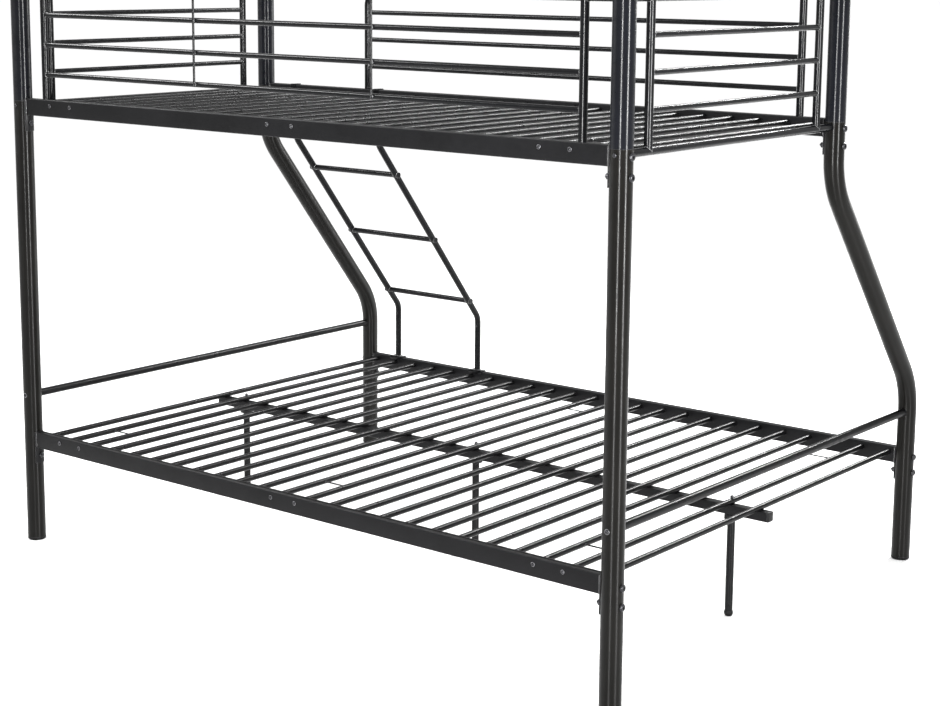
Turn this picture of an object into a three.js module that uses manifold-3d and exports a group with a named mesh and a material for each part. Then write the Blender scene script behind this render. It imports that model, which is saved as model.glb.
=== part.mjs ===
// Bunk bed with ladder: a single deck over a wider double deck, in bolted steel tube.
// Millimetres, +Z up. X runs along the length and the ladder stands at the -X end of the +Y side.
// The two posts on the -Y side are straight. The two on the +Y side bend in to the narrower upper deck.

import * as THREE from 'three';
import { mergeVertices } from 'three/addons/utils/BufferGeometryUtils.js';
import Module from 'manifold-3d';

const wasm = await Module();
wasm.setup();

// Overall sizes, between post centres
const LENGTH = 1938;
const LOWER_WIDTH = 1398;
const UPPER_WIDTH = 922;

// Heights above the floor
const LOWER_RAIL_TOP = 311;
const UPPER_RAIL_TOP = 1229;

// Heights set off from the two rails: drops are below the rail's top, rises above it
const LOWER_END_BAR_RISE = 102;
const LOWER_BEND_RISE = 106;
const POST_JOINT_DROP = 7;
const POST_ABOVE_TOP_RAIL = 55;

// Posts and their bends
const POST_RADIUS = 25;
const POST_WALL = 1.5;
const SPIGOT_LENGTH = 80;
const POST_BEND_RADIUS = 190;
const BEND_BELOW_FITTINGS = 5;

// Plastic caps
const FOOT_FLANGE = 8;
const TOP_CAP_RISE = 6;
const CAP_ROUND = 4;
const PLUG_DEPTH = 22;

// Side rails and the curved plates that bolt them to the posts
const RAIL_HEIGHT = 45;
const RAIL_THICKNESS = 22;
const RAIL_WALL = 1.5;
const RAIL_CORNER = 2.5;
const PLATE_HEIGHT = 88;
const PLATE_THICKNESS = 3;
const PLATE_HALF_WIDTH = 15;
const PLATE_TOP_DROP = 0.5;

// Slats
const SLAT_COUNT = 24;
const FIRST_SLAT_INSET = 43;
const SLAT_RADIUS = 7.5;
const SLAT_DROP = 16;
const SLAT_ENTRY = 8;
const TIED_SLATS = [1, 11, 21];
const TIE_WIRE_RADIUS = 2;
const TIE_WIRE_INSET = 180;

// Guards and end panels
const BAR_RADIUS = 6.75;
const BAR_RISE = 66;
const BAR_PITCH = 78;
const BAR_COUNT = 3;
const FRAME_TUBE_RADIUS = 9.5;
const UPRIGHT_INSET = 98;
const PANEL_FOOT_DROP = 20;
const GUARD_ROD_RADIUS = 3;
const GUARD_ROD_COUNT = 2;
const GUARD_CORNER_RADIUS = 60;
const LADDER_GAP = 417;
const END_BAR_RADIUS = 10.5;

// Ladder
const LADDER_TUBE_RADIUS = 9.5;
const LADDER_INSET = 125;
const LADDER_WIDTH = 333;
const LADDER_BEND_RADIUS = 80;
const RUNG_RADIUS = 8;
const RUNG_TOP_DROP = 257;
const RUNG_PITCH = 214;
const RUNG_COUNT = 3;
const RUNG_STAND_OUT = 2;
const SHOE_LENGTH = 50;
const SHOE_THICKNESS = 3;
const SHOE_LIP_CLEARANCE = 1.5;

// Centre beam and its legs
const BEAM_SIZE = 25;
const BEAM_WALL = 1.5;
const BEAM_END_INSET = 13.5;
const BEAM_CAP_FLANGE = 4;
const LEG_RADIUS = 10;
const LEG_HEAD = 27;
const LEG_HEAD_HEIGHT = 12;
const LEG_SLATS = [1, 12, 22];
const LEG_CAP_RADIUS = 11.5;
const LEG_CAP_HEIGHT = 14;

// Clearance between neighbouring pieces, and how finely curves are cut
const GAP = 0.3;
const POST_SIDES = 24;
const TUBE_SIDES = 12;
const ROD_SIDES = 10;
const WIRE_SIDES = 6;
const BEND_STEP = THREE.MathUtils.degToRad(10);

// Places that follow from the sizes above
const endX = LENGTH / 2;
const wallY = -LOWER_WIDTH / 2;
const lowerLadderY = LOWER_WIDTH / 2;
const upperLadderY = wallY + UPPER_WIDTH;
const upperMiddleY = (wallY + upperLadderY) / 2;
const lowerSlatHeight = LOWER_RAIL_TOP - SLAT_DROP;
const upperSlatHeight = UPPER_RAIL_TOP - SLAT_DROP;
const panelFootHeight = UPPER_RAIL_TOP - PANEL_FOOT_DROP;
const barHeights = Array.from({ length: BAR_COUNT }, (_, i) => UPPER_RAIL_TOP + BAR_RISE + i * BAR_PITCH);
const topRailHeight = barHeights[BAR_COUNT - 1] + BAR_PITCH;
const postTop = topRailHeight + POST_ABOVE_TOP_RAIL;
const postJoint = UPPER_RAIL_TOP - POST_JOINT_DROP;
const lowerEndBarHeight = LOWER_RAIL_TOP + LOWER_END_BAR_RISE;
const slatPitch = (LENGTH - 2 * FIRST_SLAT_INSET) / (SLAT_COUNT - 1);
const slatX = (index) => (index - (SLAT_COUNT - 1) / 2) * slatPitch;
const beamLength = LENGTH - 2 * BEAM_END_INSET;
const shoeLip = SLAT_DROP - SLAT_RADIUS - SHOE_LIP_CLEARANCE;

// The posts' upper bend starts below the spigot and the rail's end plate. The lower one ends above the lower rail
const fittingsFoot = Math.min(postJoint - SPIGOT_LENGTH, UPPER_RAIL_TOP - PLATE_TOP_DROP - PLATE_HEIGHT);
const bendStart = fittingsFoot - BEND_BELOW_FITTINGS;
const bendEnd = LOWER_RAIL_TOP + LOWER_BEND_RISE;

// The angle from upright at which the straight stretch between two equal bends meets them both
const bendRise = bendStart - bendEnd;
const bendSpare = 2 * POST_BEND_RADIUS - (lowerLadderY - upperLadderY);
const leanAngle = Math.atan2(bendRise, bendSpare)
  - Math.acos((2 * POST_BEND_RADIUS) / Math.hypot(bendRise, bendSpare));
const bendToCorner = POST_BEND_RADIUS * Math.tan(leanAngle / 2);
const upperBend = bendStart - bendToCorner;
const lowerBend = bendEnd + bendToCorner;

// Where the bent posts' middle line stands at a given height, its bends taken as sharp
function ladderSideY(z) {
  const share = THREE.MathUtils.clamp((upperBend - z) / (upperBend - lowerBend), 0, 1);
  return THREE.MathUtils.lerp(upperLadderY, lowerLadderY, share);
}

const steel = { color: 0x2c2c2e, roughness: 0.42, metalness: 0.55 };
const railSteel = { color: 0x38393c, roughness: 0.5, metalness: 0.5 };
const slatSteel = { color: 0x1f1f21, roughness: 0.38, metalness: 0.55 };
const plastic = { color: 0x141415, roughness: 0.6, metalness: 0 };

// ---------------------------------------------------------------- solids

function toSolid(geometry) {
  const bare = geometry.clone();
  bare.deleteAttribute('normal');
  bare.deleteAttribute('uv');
  const merged = mergeVertices(bare, 1e-3);
  const vertProperties = new Float32Array(merged.attributes.position.array);
  const triVerts = new Uint32Array(merged.index.array);
  return new wasm.Manifold(new wasm.Mesh({ numProp: 3, vertProperties, triVerts }));
}

function toGeometry(solid) {
  const mesh = solid.getMesh();
  const geometry = new THREE.BufferGeometry();
  geometry.setAttribute('position', new THREE.BufferAttribute(mesh.vertProperties, 3));
  geometry.setIndex(new THREE.BufferAttribute(mesh.triVerts, 1));
  geometry.computeVertexNormals();
  return geometry;
}

function joined(geometries) {
  return geometries.map(toSolid).reduce((whole, piece) => whole.add(piece));
}

function cutBy(solid, geometries) {
  return geometries.map(toSolid).reduce((whole, tool) => whole.subtract(tool), solid);
}

// ---------------------------------------------------------------- tubes and bars

// A route through given corners, with each inner corner rounded to the bend radius
class TubeRoute extends THREE.Curve {
  constructor(corners, bendRadius) {
    super();
    this.points = [corners[0]];
    this.tangents = [new THREE.Vector3().subVectors(corners[1], corners[0]).normalize()];
    for (let i = 1; i < corners.length - 1; i += 1) {
      this.addBend(corners[i], corners[i + 1], bendRadius);
    }
    this.points.push(corners[corners.length - 1]);
    this.tangents.push(this.tangents[this.tangents.length - 1].clone());
  }

  addBend(corner, next, bendRadius) {
    const before = this.tangents[this.tangents.length - 1].clone();
    const after = new THREE.Vector3().subVectors(next, corner).normalize();
    const turn = before.angleTo(after);
    const axis = new THREE.Vector3().crossVectors(before, after).normalize();
    const toCentre = new THREE.Vector3().crossVectors(axis, before);
    const start = corner.clone().addScaledVector(before, -bendRadius * Math.tan(turn / 2));
    const centre = start.clone().addScaledVector(toCentre, bendRadius);
    const steps = Math.max(2, Math.ceil(turn / BEND_STEP));
    for (let k = 0; k <= steps; k += 1) {
      const angle = (turn * k) / steps;
      const spoke = new THREE.Vector3().subVectors(start, centre).applyAxisAngle(axis, angle);
      this.points.push(centre.clone().add(spoke));
      this.tangents.push(before.clone().applyAxisAngle(axis, angle));
    }
  }

  get steps() {
    return this.points.length - 1;
  }

  getPoint(t, target = new THREE.Vector3()) {
    const place = t * this.steps;
    const index = Math.min(Math.floor(place), this.steps - 1);
    return target.lerpVectors(this.points[index], this.points[index + 1], place - index);
  }

  getPointAt(u, target) {
    return this.getPoint(u, target);
  }

  getTangentAt(u, target = new THREE.Vector3()) {
    return target.copy(this.tangents[Math.round(u * this.steps)]);
  }
}

function roundSection(radius, sides, wall = 0) {
  const ring = (r) => Array.from({ length: sides }, (_, i) => {
    const angle = (2 * Math.PI * (i + 0.5)) / sides;
    return new THREE.Vector2(r * Math.cos(angle), r * Math.sin(angle));
  });
  const section = new THREE.Shape(ring(radius));
  if (wall > 0) section.holes.push(new THREE.Path(ring(radius - wall)));
  return section;
}

function tube(corners, radius, { sides = TUBE_SIDES, wall = 0, bendRadius = 0 } = {}) {
  const route = new TubeRoute(corners.map((c) => new THREE.Vector3(...c)), bendRadius);
  return new THREE.ExtrudeGeometry(roundSection(radius, sides, wall), {
    steps: route.steps,
    bevelEnabled: false,
    extrudePath: route,
  });
}

function boxSection(width, height, corner) {
  const w = width / 2;
  const h = height / 2;
  const section = new THREE.Shape();
  section.moveTo(-w + corner, -h);
  section.lineTo(w - corner, -h);
  section.lineTo(w, -h + corner);
  section.lineTo(w, h - corner);
  section.lineTo(w - corner, h);
  section.lineTo(-w + corner, h);
  section.lineTo(-w, h - corner);
  section.lineTo(-w, -h + corner);
  section.closePath();
  return section;
}

// A box tube lying along X, centred on the origin
function boxTube(length, width, height, corner, wall) {
  const section = boxSection(height, width, corner);
  const inner = boxSection(height - 2 * wall, width - 2 * wall, Math.max(corner - wall, 0.5));
  section.holes.push(new THREE.Path(inner.getPoints()));
  const geometry = new THREE.ExtrudeGeometry(section, { depth: length, bevelEnabled: false });
  geometry.translate(0, 0, -length / 2);
  geometry.rotateY(Math.PI / 2);
  return geometry;
}

// A round bar lying along Y
function barAlongY(length, radius, sides, x = 0, y = 0, z = 0) {
  const geometry = new THREE.CylinderGeometry(radius, radius, length, sides);
  geometry.translate(x, y, z);
  return geometry;
}

// The upright cylinder that a piece bolted to a post has to stay clear of
function postTool(x, y, radius, bottom, top) {
  const geometry = new THREE.CylinderGeometry(radius, radius, top - bottom, 2 * POST_SIDES);
  geometry.rotateX(Math.PI / 2);
  geometry.translate(x, y, (bottom + top) / 2);
  return geometry;
}

function turned(profile, sides) {
  const points = profile.map(([r, z]) => new THREE.Vector2(r, z));
  const geometry = new THREE.LatheGeometry(points, sides);
  geometry.rotateX(Math.PI / 2);
  return geometry;
}

// ---------------------------------------------------------------- posts

const postFoot = FOOT_FLANGE + GAP;
const lowerPostTop = postJoint - GAP;

function straightLowerPost() {
  return tube([[0, 0, postFoot], [0, 0, lowerPostTop]], POST_RADIUS, { sides: POST_SIDES, wall: POST_WALL });
}

// The middle line that the bent posts and the ladder follow, from the upper deck down to the lower one
function bentLine(x, top, bottom) {
  return [
    [x, upperLadderY, top],
    [x, upperLadderY, upperBend],
    [x, lowerLadderY, lowerBend],
    [x, lowerLadderY, bottom],
  ];
}

function bentLowerPost() {
  return tube(bentLine(0, lowerPostTop, postFoot), POST_RADIUS, {
    sides: POST_SIDES,
    wall: POST_WALL,
    bendRadius: POST_BEND_RADIUS,
  });
}

// The upper post narrows below the joint and slides into the lower post
function upperPost() {
  const bore = POST_RADIUS - POST_WALL;
  const spigot = bore - GAP;
  const bottom = postJoint - SPIGOT_LENGTH;
  return turned([
    [spigot - POST_WALL, bottom],
    [spigot, bottom],
    [spigot, postJoint],
    [POST_RADIUS, postJoint],
    [POST_RADIUS, postTop],
    [bore, postTop],
    [bore, postJoint + 2 * POST_WALL],
    [spigot - POST_WALL, postJoint],
    [spigot - POST_WALL, bottom],
  ], POST_SIDES);
}

function postFootCap() {
  const plug = POST_RADIUS - POST_WALL - GAP;
  return turned([
    [0, 0],
    [POST_RADIUS - CAP_ROUND, 0],
    [POST_RADIUS - CAP_ROUND / 4, CAP_ROUND / 4],
    [POST_RADIUS, CAP_ROUND],
    [POST_RADIUS, FOOT_FLANGE],
    [plug, FOOT_FLANGE],
    [plug, FOOT_FLANGE + PLUG_DEPTH],
    [0, FOOT_FLANGE + PLUG_DEPTH],
  ], POST_SIDES);
}

function postTopCap() {
  const plug = POST_RADIUS - POST_WALL - GAP;
  return turned([
    [0, postTop - PLUG_DEPTH],
    [plug, postTop - PLUG_DEPTH],
    [plug, postTop + GAP],
    [POST_RADIUS, postTop + GAP],
    [POST_RADIUS - CAP_ROUND / 4, postTop + TOP_CAP_RISE / 2],
    [POST_RADIUS - CAP_ROUND, postTop + TOP_CAP_RISE],
    [0, postTop + TOP_CAP_RISE],
  ], POST_SIDES);
}

// ---------------------------------------------------------------- side rails and slats

// A plate curved to the post, welded on a rail's end. The post's axis is at x, on the rail's middle line
function saddlePlate(x) {
  const inner = POST_RADIUS + GAP;
  const outer = inner + PLATE_THICKNESS;
  const halfAngle = Math.asin(PLATE_HALF_WIDTH / outer);
  const facing = x > 0 ? Math.PI : 0;
  const section = new THREE.Shape();
  section.absarc(0, 0, outer, facing - halfAngle, facing + halfAngle, false);
  section.absarc(0, 0, inner, facing + halfAngle, facing - halfAngle, true);
  section.closePath();
  const geometry = new THREE.ExtrudeGeometry(section, {
    depth: PLATE_HEIGHT,
    bevelEnabled: false,
    curveSegments: 6,
  });
  geometry.translate(x, 0, RAIL_HEIGHT / 2 - PLATE_TOP_DROP - PLATE_HEIGHT);
  return geometry;
}

const slatOffset = RAIL_HEIGHT / 2 - SLAT_DROP;

// Where a slat's end stops inside a rail, measured from the rail's middle line
const slatStop = RAIL_THICKNESS / 2 - SLAT_ENTRY;

function slatHole(index, inward) {
  const depth = SLAT_ENTRY + 2 * GAP;
  const middle = inward * (slatStop - GAP + depth / 2);
  return barAlongY(depth, SLAT_RADIUS + 2 * GAP, ROD_SIDES, slatX(index), middle, slatOffset);
}

function slatLength(deckWidth) {
  return deckWidth - 2 * slatStop;
}

// A box tube with a curved plate at each end and a hole for each slat in its inner wall.
// inward is +1 or -1, the side in Y that faces the deck. Slats in ownSlats are welded to this rail.
function sideRail(inward, ownSlats = [], deckWidth = 0) {
  const body = toSolid(boxTube(LENGTH, RAIL_THICKNESS, RAIL_HEIGHT, RAIL_CORNER, RAIL_WALL));
  const seat = POST_RADIUS + GAP + PLATE_THICKNESS / 2;
  const ends = [-endX, endX].map((x) => postTool(x, 0, seat, -RAIL_HEIGHT, RAIL_HEIGHT));
  const holes = [];
  for (let i = 0; i < SLAT_COUNT; i += 1) {
    if (!ownSlats.includes(i)) holes.push(slatHole(i, inward));
  }
  const welded = [saddlePlate(-endX), saddlePlate(endX)];
  for (const i of ownSlats) {
    const middle = (inward * deckWidth) / 2;
    welded.push(barAlongY(slatLength(deckWidth), SLAT_RADIUS, ROD_SIDES, slatX(i), middle, slatOffset));
  }
  return toGeometry(cutBy(body, [...ends, ...holes]).add(joined(welded)));
}

function plainSlat(deckWidth) {
  return barAlongY(slatLength(deckWidth), SLAT_RADIUS, ROD_SIDES);
}

// Two slats joined by a short wire near each end, centred between the two
function tiedSlats(deckWidth) {
  const half = slatPitch / 2;
  const wireY = deckWidth / 2 - TIE_WIRE_INSET;
  const wire = (y) => tube([[-half, y, 0], [half, y, 0]], TIE_WIRE_RADIUS, { sides: WIRE_SIDES });
  return toGeometry(joined([
    barAlongY(slatLength(deckWidth), SLAT_RADIUS, ROD_SIDES, -half),
    barAlongY(slatLength(deckWidth), SLAT_RADIUS, ROD_SIDES, half),
    wire(-wireY),
    wire(wireY),
  ]));
}

// ---------------------------------------------------------------- end frames and guards

function lowerEndBar() {
  const z = lowerEndBarHeight;
  const bar = toSolid(tube([[0, wallY, z], [0, ladderSideY(z), z]], END_BAR_RADIUS));
  const wallPost = postTool(0, wallY, POST_RADIUS + GAP, 0, postTop);
  const bentPost = tube(bentLine(0, postJoint, 0), POST_RADIUS + GAP, {
    sides: 2 * POST_SIDES,
    bendRadius: POST_BEND_RADIUS,
  });
  return toGeometry(cutBy(bar, [wallPost, bentPost]));
}

// The panel that closes an end of the upper deck, centred between its two posts
function upperEndPanel() {
  const half = UPPER_WIDTH / 2;
  const upright = half - UPRIGHT_INSET;
  const rail = (z) => tube([[0, -half, z], [0, half, z]], FRAME_TUBE_RADIUS);
  const pieces = [rail(panelFootHeight), rail(topRailHeight)];
  for (const y of [-upright, upright]) {
    pieces.push(tube([[0, y, panelFootHeight], [0, y, topRailHeight]], FRAME_TUBE_RADIUS));
  }
  for (const z of barHeights) {
    pieces.push(barAlongY(2 * upright, BAR_RADIUS, ROD_SIDES, 0, 0, z));
  }
  const tools = [-half, half].map((y) => postTool(0, y, POST_RADIUS + GAP, 0, postTop));
  return toGeometry(cutBy(joined(pieces), tools));
}

function guardBars(fromX, toX) {
  return barHeights.map((z) => tube([[fromX, 0, z], [toX, 0, z]], BAR_RADIUS, { sides: ROD_SIDES }));
}

const guardFoot = UPPER_RAIL_TOP + GAP;

// Thin rods welded across the bars on the wall side, at even shares of the guard's length
function guardRods(fromX, toX) {
  const y = -(BAR_RADIUS + GUARD_ROD_RADIUS - 1);
  const rods = [];
  for (let i = 1; i <= GUARD_ROD_COUNT; i += 1) {
    const x = fromX + ((toX - fromX) * i) / (GUARD_ROD_COUNT + 1);
    rods.push(tube([[x, y, barHeights[0]], [x, y, topRailHeight]], GUARD_ROD_RADIUS, { sides: WIRE_SIDES }));
  }
  return rods;
}

function wallGuard() {
  const upright = endX - UPRIGHT_INSET;
  const pieces = [tube([[-endX, 0, topRailHeight], [endX, 0, topRailHeight]], FRAME_TUBE_RADIUS)];
  for (const x of [-upright, upright]) {
    pieces.push(tube([[x, 0, guardFoot], [x, 0, topRailHeight]], FRAME_TUBE_RADIUS));
  }
  pieces.push(...guardBars(-upright, upright), ...guardRods(-upright, upright));
  const tools = [-endX, endX].map((x) => postTool(x, 0, POST_RADIUS + GAP, 0, postTop));
  return toGeometry(cutBy(joined(pieces), tools));
}

// The guard beside the ladder: its top rail turns down at the gap that the ladder leads to
function ladderGuard() {
  const gapX = -endX + LADDER_GAP;
  const upright = endX - UPRIGHT_INSET;
  const hoop = tube([[gapX, 0, guardFoot], [gapX, 0, topRailHeight], [endX, 0, topRailHeight]],
    FRAME_TUBE_RADIUS, { bendRadius: GUARD_CORNER_RADIUS });
  const post = tube([[upright, 0, guardFoot], [upright, 0, topRailHeight]], FRAME_TUBE_RADIUS);
  const tools = [postTool(endX, 0, POST_RADIUS + GAP, 0, postTop)];
  return toGeometry(cutBy(joined([hoop, post, ...guardBars(gapX, upright)]), tools));
}

// ---------------------------------------------------------------- ladder

// A plate against the rail with a lip that hooks on its side. way is +1 where the lip goes up, -1 down
function ladderShoe(x, y, z, lipSide, way) {
  const plate = new THREE.BoxGeometry(SHOE_LENGTH, RAIL_THICKNESS + GAP + SHOE_THICKNESS, SHOE_THICKNESS);
  plate.translate(x, y + (lipSide * (GAP + SHOE_THICKNESS)) / 2, z - (way * SHOE_THICKNESS) / 2);
  const lip = new THREE.BoxGeometry(SHOE_LENGTH, SHOE_THICKNESS, shoeLip + SHOE_THICKNESS);
  const lipY = y + lipSide * (RAIL_THICKNESS / 2 + GAP + SHOE_THICKNESS / 2);
  lip.translate(x, lipY, z + (way * (shoeLip - SHOE_THICKNESS)) / 2);
  return [plate, lip];
}

// Uprights run parallel to the bent posts, from the underside of the upper rail to the lower rail's top
function ladder() {
  const top = UPPER_RAIL_TOP - RAIL_HEIGHT - GAP;
  const bottom = LOWER_RAIL_TOP + GAP;
  const half = LADDER_WIDTH / 2;
  const pieces = [];
  for (const x of [-half, half]) {
    const line = bentLine(x, top - SHOE_THICKNESS / 2, bottom + SHOE_THICKNESS / 2);
    pieces.push(tube(line, LADDER_TUBE_RADIUS, { bendRadius: LADDER_BEND_RADIUS }));
    pieces.push(...ladderShoe(x, upperLadderY, top, 1, 1));
    pieces.push(...ladderShoe(x, lowerLadderY, bottom, -1, -1));
  }
  for (let i = 0; i < RUNG_COUNT; i += 1) {
    const z = UPPER_RAIL_TOP - RUNG_TOP_DROP - i * RUNG_PITCH;
    const y = ladderSideY(z);
    const reach = half + LADDER_TUBE_RADIUS + RUNG_STAND_OUT;
    pieces.push(tube([[-reach, y, z], [reach, y, z]], RUNG_RADIUS));
  }
  return toGeometry(joined(pieces));
}

// ---------------------------------------------------------------- centre beam and legs

const beamTop = lowerSlatHeight - SLAT_RADIUS - GAP;
const beamMiddle = beamTop - BEAM_SIZE / 2;
const legTop = beamTop - BEAM_SIZE - GAP;

function centreBeam() {
  const length = beamLength - 2 * (BEAM_CAP_FLANGE + GAP);
  return boxTube(length, BEAM_SIZE, BEAM_SIZE, RAIL_CORNER, BEAM_WALL);
}

// A flange with a plug behind it, facing +X
function beamCap() {
  const bore = BEAM_SIZE - 2 * BEAM_WALL - 2 * GAP;
  const flange = new THREE.BoxGeometry(BEAM_CAP_FLANGE, BEAM_SIZE, BEAM_SIZE);
  flange.translate(beamLength / 2 - BEAM_CAP_FLANGE / 2, 0, 0);
  const plug = new THREE.BoxGeometry(PLUG_DEPTH + 1, bore - CAP_ROUND / 2, bore - CAP_ROUND / 2);
  plug.translate(beamLength / 2 - BEAM_CAP_FLANGE - (PLUG_DEPTH - 1) / 2, 0, 0);
  return toGeometry(joined([flange, plug]));
}

// A tube with a square head welded on top, bolted up through the beam and one slat
function centreLeg() {
  const head = new THREE.BoxGeometry(LEG_HEAD, LEG_HEAD, LEG_HEAD_HEIGHT);
  head.translate(0, 0, legTop - LEG_HEAD_HEIGHT / 2);
  const stem = tube([[0, 0, LEG_CAP_HEIGHT / 2], [0, 0, legTop - LEG_HEAD_HEIGHT / 2]], LEG_RADIUS);
  return toGeometry(joined([head, stem]));
}

// A cup over the leg's lower end
function legCap() {
  const bore = LEG_RADIUS + GAP;
  const floor = LEG_CAP_HEIGHT / 2 - GAP;
  return turned([
    [0, 0],
    [LEG_CAP_RADIUS - CAP_ROUND / 2, 0],
    [LEG_CAP_RADIUS, CAP_ROUND / 2],
    [LEG_CAP_RADIUS, LEG_CAP_HEIGHT],
    [bore, LEG_CAP_HEIGHT],
    [bore, floor],
    [0, floor],
  ], POST_SIDES);
}

// ---------------------------------------------------------------- assembly

const bed = new THREE.Group();

function addPiece(parent, name, geometry, look, [x, y, z] = [0, 0, 0], turnZ = 0) {
  const mesh = new THREE.Mesh(geometry, new THREE.MeshStandardMaterial(look));
  mesh.name = name;
  mesh.position.set(x, y, z);
  mesh.rotation.z = turnZ;
  parent.add(mesh);
}

function addPosts() {
  const posts = new THREE.Group();
  for (const [end, x] of [['ladder_end', -endX], ['plain_end', endX]]) {
    const wall = `wall_${end}`;
    const front = `ladder_side_${end}`;
    addPiece(posts, `lower_post_${wall}`, straightLowerPost(), steel, [x, wallY, 0]);
    addPiece(posts, `lower_post_${front}`, bentLowerPost(), steel, [x, 0, 0]);
    addPiece(posts, `foot_cap_${wall}`, postFootCap(), plastic, [x, wallY, 0]);
    addPiece(posts, `foot_cap_${front}`, postFootCap(), plastic, [x, lowerLadderY, 0]);
    for (const [corner, y] of [[wall, wallY], [front, upperLadderY]]) {
      addPiece(posts, `upper_post_${corner}`, upperPost(), steel, [x, y, 0]);
      addPiece(posts, `top_cap_${corner}`, postTopCap(), plastic, [x, y, 0]);
    }
  }
  bed.add(posts);
}

// Each tied pair takes its first slat's number, and every other slat stands alone
const isTied = (index) => TIED_SLATS.some((first) => index === first || index === first + 1);
const plainSlats = Array.from({ length: SLAT_COUNT }, (_, i) => i).filter((i) => !isTied(i));

function addTiedSlats(deck, deckName, deckWidth) {
  TIED_SLATS.forEach((first, pair) => {
    const x = (slatX(first) + slatX(first + 1)) / 2;
    addPiece(deck, `${deckName}_tied_slats_${pair + 1}`, tiedSlats(deckWidth), slatSteel, [x, 0, 0]);
  });
}

function addLowerDeck() {
  const deck = new THREE.Group();
  deck.position.z = lowerSlatHeight;
  const railZ = -slatOffset;
  addPiece(deck, 'lower_rail_wall_side', sideRail(1), railSteel, [0, wallY, railZ]);
  addPiece(deck, 'lower_rail_ladder_side', sideRail(-1), railSteel, [0, lowerLadderY, railZ]);
  addTiedSlats(deck, 'lower', LOWER_WIDTH);
  plainSlats.forEach((index) => {
    const name = `lower_slat_${String(index + 1).padStart(2, '0')}`;
    addPiece(deck, name, plainSlat(LOWER_WIDTH), slatSteel, [slatX(index), 0, 0]);
  });
  bed.add(deck);
}

// The upper deck's single slats are welded to one rail or the other in turn and slide into the opposite one
function addUpperDeck() {
  const deck = new THREE.Group();
  deck.position.set(0, upperMiddleY, upperSlatHeight);
  const half = UPPER_WIDTH / 2;
  const railZ = -slatOffset;
  const wallSlats = plainSlats.filter((_, order) => order % 2 === 0);
  const frontSlats = plainSlats.filter((_, order) => order % 2 === 1);
  const wallRail = sideRail(1, wallSlats, UPPER_WIDTH);
  const ladderRail = sideRail(-1, frontSlats, UPPER_WIDTH);
  addPiece(deck, 'upper_rail_wall_side', wallRail, railSteel, [0, -half, railZ]);
  addPiece(deck, 'upper_rail_ladder_side', ladderRail, railSteel, [0, half, railZ]);
  addTiedSlats(deck, 'upper', UPPER_WIDTH);
  bed.add(deck);
}

function addEndsAndGuards() {
  for (const [end, x] of [['ladder_end', -endX], ['plain_end', endX]]) {
    addPiece(bed, `lower_end_bar_${end}`, lowerEndBar(), steel, [x, 0, 0]);
    addPiece(bed, `upper_end_panel_${end}`, upperEndPanel(), steel, [x, upperMiddleY, 0]);
  }
  addPiece(bed, 'guard_wall_side', wallGuard(), steel, [0, wallY, 0]);
  addPiece(bed, 'guard_ladder_side', ladderGuard(), steel, [0, upperLadderY, 0]);
  addPiece(bed, 'ladder', ladder(), steel, [-endX + LADDER_INSET + LADDER_WIDTH / 2, 0, 0]);
}

function addCentreSupport() {
  const support = new THREE.Group();
  addPiece(support, 'centre_beam', centreBeam(), steel, [0, 0, beamMiddle]);
  addPiece(support, 'beam_cap_plain_end', beamCap(), plastic, [0, 0, beamMiddle]);
  addPiece(support, 'beam_cap_ladder_end', beamCap(), plastic, [0, 0, beamMiddle], Math.PI);
  LEG_SLATS.forEach((index, leg) => {
    addPiece(support, `centre_leg_${leg + 1}`, centreLeg(), steel, [slatX(index), 0, 0]);
    addPiece(support, `leg_cap_${leg + 1}`, legCap(), plastic, [slatX(index), 0, 0]);
  });
  bed.add(support);
}

addPosts();
addLowerDeck();
addUpperDeck();
addEndsAndGuards();
addCentreSupport();

export default bed;
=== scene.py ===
"""A steel bunk bed: a narrow upper deck over a wide lower one, with guards and a bent ladder."""

import math
import random

import bmesh
import bpy
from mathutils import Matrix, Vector


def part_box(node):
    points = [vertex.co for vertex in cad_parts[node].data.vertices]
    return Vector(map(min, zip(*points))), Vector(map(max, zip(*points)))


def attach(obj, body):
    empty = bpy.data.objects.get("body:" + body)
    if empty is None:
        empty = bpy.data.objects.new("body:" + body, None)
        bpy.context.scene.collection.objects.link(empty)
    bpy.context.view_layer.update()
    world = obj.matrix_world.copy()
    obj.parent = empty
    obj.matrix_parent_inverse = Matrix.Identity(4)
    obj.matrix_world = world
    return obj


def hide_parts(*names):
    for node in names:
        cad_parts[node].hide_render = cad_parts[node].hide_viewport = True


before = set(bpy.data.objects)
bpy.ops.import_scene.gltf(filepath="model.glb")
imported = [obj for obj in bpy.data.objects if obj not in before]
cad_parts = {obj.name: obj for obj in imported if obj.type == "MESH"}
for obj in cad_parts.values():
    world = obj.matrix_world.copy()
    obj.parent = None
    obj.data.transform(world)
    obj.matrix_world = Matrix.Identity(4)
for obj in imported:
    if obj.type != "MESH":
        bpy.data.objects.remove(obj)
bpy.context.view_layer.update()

chance = random.Random(7)


def middle(node):
    """The middle of a CAD node's box."""
    low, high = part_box(node)
    return (low + high) / 2


# ---------------------------------------------------------------- sizes, in metres

# Tube of the guards, end panels and ladder
FRAME_RADIUS = 0.0095

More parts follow.
